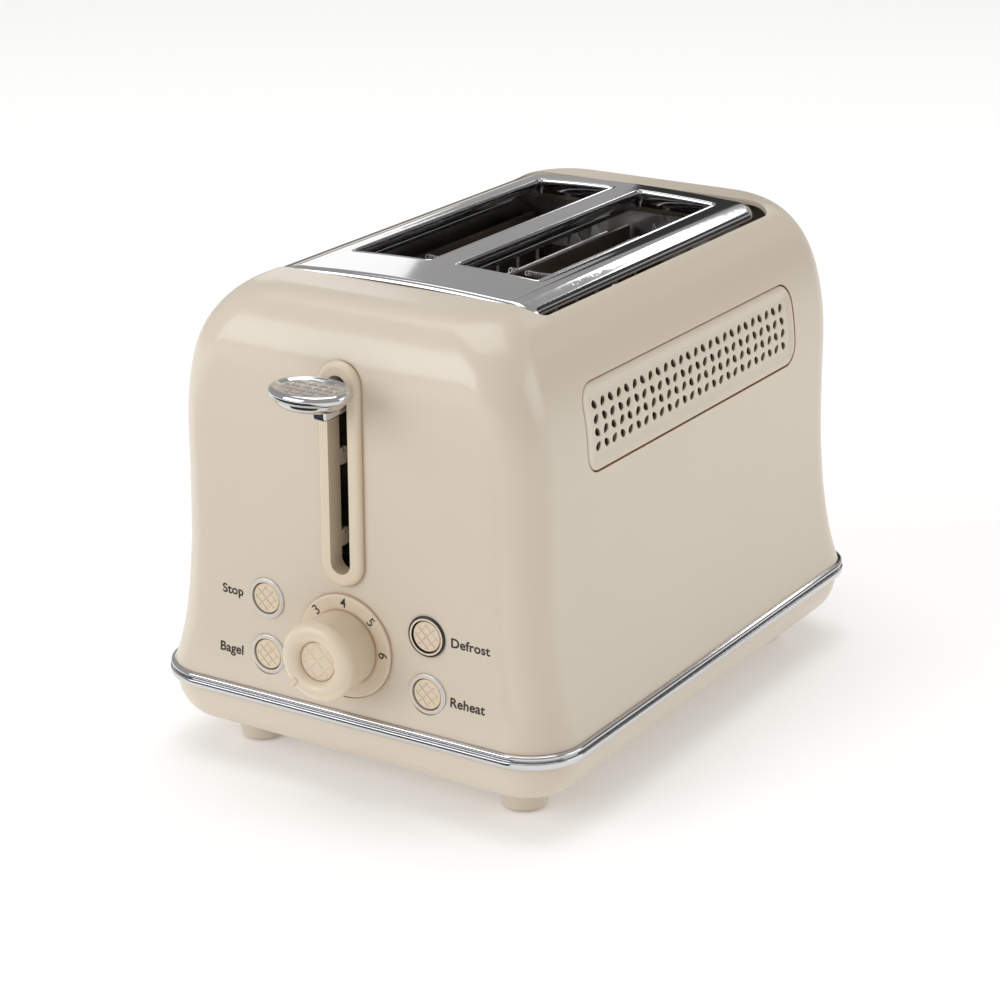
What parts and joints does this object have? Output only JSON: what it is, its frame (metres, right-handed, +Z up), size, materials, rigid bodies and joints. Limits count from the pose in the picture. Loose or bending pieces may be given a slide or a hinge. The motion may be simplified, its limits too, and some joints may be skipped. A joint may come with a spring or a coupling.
{
  "type": "pop up toaster",
  "caption": "Pop up toaster with a soft rounded cream body, chrome slotted top, lever, timer dial, push buttons, side vents and crumb tray.",
  "frame": {"origin": "on the floor under the middle of the whole object's box", "axes": "+Z up, the lever and dial face -Y, +X to the right seen from the front, the slots run along Y"},
  "size_m": [0.1992, 0.3115, 0.2076],
  "materials": {
    "shell_cream": "satin",
    "control_cream": "satin",
    "chrome": "polished",
    "bezel_silver": "satin",
    "bezel_dark": "gloss",
    "rubber": "matte",
    "sheet_steel": "brushed",
    "wire": "bright",
    "rod_steel": "ground",
    "mica": "matte",
    "ribbon": "oxidised",
    "board": "matte",
    "black_plastic": "matte",
    "coil": "wound"
  },
  "bodies": {
    "housing": {"outer_shell": "shell_cream", "vent_panel_left": "shell_cream", "vent_panel_right": "shell_cream", "base_housing": "shell_cream", "foot_front_left": "shell_cream", "foot_front_right": "shell_cream", "foot_rear_left": "shell_cream", "foot_rear_right": "shell_cream", "lever_escutcheon": "control_cream", "dial_ring": "control_cream", "top_plate": "chrome", "base_trim_band": "chrome", "bezel_stop": "bezel_silver", "bezel_bagel": "bezel_silver", "bezel_reheat": "bezel_silver", "bezel_defrost": "bezel_dark", "foot_pad_front_left": "rubber", "foot_pad_front_right": "rubber", "foot_pad_rear_left": "rubber", "foot_pad_rear_right": "rubber", "chassis_front": "sheet_steel", "chassis_rear": "sheet_steel", "reflector_left": "sheet_steel", "reflector_right": "sheet_steel", "guide_rod": "rod_steel", "heater_board_left": "mica", "heater_board_middle": "mica", "heater_board_right": "mica", "heater_ribbon_left_outer": "ribbon", "heater_ribbon_left_inner": "ribbon", "heater_ribbon_right_outer": "ribbon", "heater_ribbon_right_inner": "ribbon", "control_board": "board", "dial_potentiometer": "black_plastic", "cord_gland": "black_plastic", "switch_stop": "black_plastic", "switch_bagel": "black_plastic", "switch_defrost": "black_plastic", "switch_reheat": "black_plastic", "electromagnet": "coil"},
    "carriage": {"carriage_bracket": "sheet_steel", "lever_arm": "sheet_steel", "lever_knob": "chrome", "bread_rack_left": "wire", "bread_rack_right": "wire", "armature_plate": "sheet_steel", "carriage_spring": "rod_steel"},
    "dial": {"dial_knob": "control_cream", "dial_shaft": "rod_steel"},
    "crumb_tray": {"crumb_tray": "sheet_steel", "crumb_tray_pull": "control_cream"},
    "button_stop": {"button_stop": "control_cream"},
    "button_bagel": {"button_bagel": "control_cream"},
    "button_defrost": {"button_defrost": "control_cream"},
    "button_reheat": {"button_reheat": "control_cream"},
    "bread_guide_left_outer": {"bread_guide_left_outer": "wire"},
    "bread_guide_left_inner": {"bread_guide_left_inner": "wire"},
    "bread_guide_right_outer": {"bread_guide_right_outer": "wire"},
    "bread_guide_right_inner": {"bread_guide_right_inner": "wire"}
  },
  "joints": [
    {"name": "carriage_slide", "type": "slide", "parent": "housing", "child": "carriage", "axis": [0, 0, -1], "range_m": [0, 0.064], "stiffness_N_per_m": 90, "springref_m": -0.05, "deforming": ["carriage_spring"]},
    {"name": "dial_turn", "type": "hinge", "parent": "housing", "child": "dial", "pos_m": [0, -0.12825, 0.0657], "axis": [0, 1, 0], "range_deg": [0, 225]},
    {"name": "crumb_tray_slide", "type": "slide", "parent": "housing", "child": "crumb_tray", "axis": [0, 1, 0], "range_m": [0, 0.17]},
    {"name": "button_stop_push", "type": "slide", "parent": "housing", "child": "button_stop", "axis": [0, 1, 0], "range_m": [0, 0.0025], "stiffness_N_per_m": 400, "springref_m": -0.0005},
    {"name": "button_bagel_push", "type": "slide", "parent": "housing", "child": "button_bagel", "axis": [0, 1, 0], "range_m": [0, 0.0025], "stiffness_N_per_m": 400, "springref_m": -0.0005},
    {"name": "button_defrost_push", "type": "slide", "parent": "housing", "child": "button_defrost", "axis": [0, 1, 0], "range_m": [0, 0.0025], "stiffness_N_per_m": 400, "springref_m": -0.0005},
    {"name": "button_reheat_push", "type": "slide", "parent": "housing", "child": "button_reheat", "axis": [0, 1, 0], "range_m": [0, 0.0025], "stiffness_N_per_m": 400, "springref_m": -0.0005},
    {"name": "bread_guide_left_outer_tilt", "type": "hinge", "parent": "housing", "child": "bread_guide_left_outer", "pos_m": [-0.043, 0.01175, 0.048], "axis": [0, 1, 0], "range_deg": [0, 5.2]},
    {"name": "bread_guide_left_inner_tilt", "type": "hinge", "parent": "housing", "child": "bread_guide_left_inner", "pos_m": [-0.0084, 0.01175, 0.048], "axis": [0, -1, 0], "range_deg": [0, 5.2]},
    {"name": "bread_guide_right_outer_tilt", "type": "hinge", "parent": "housing", "child": "bread_guide_right_outer", "pos_m": [0.043, 0.01175, 0.048], "axis": [0, -1, 0], "range_deg": [0, 5.2]},
    {"name": "bread_guide_right_inner_tilt", "type": "hinge", "parent": "housing", "child": "bread_guide_right_inner", "pos_m": [0.0084, 0.01175, 0.048], "axis": [0, 1, 0], "range_deg": [0, 5.2]}
  ],
  "couplings": [
    {"joint": "bread_guide_left_outer_tilt", "follows": "carriage_slide", "rad_per_m": 1.36},
    {"joint": "bread_guide_left_inner_tilt", "follows": "carriage_slide", "rad_per_m": 1.36},
    {"joint": "bread_guide_right_outer_tilt", "follows": "carriage_slide", "rad_per_m": 1.36},
    {"joint": "bread_guide_right_inner_tilt", "follows": "carriage_slide", "rad_per_m": 1.36}
  ]
}
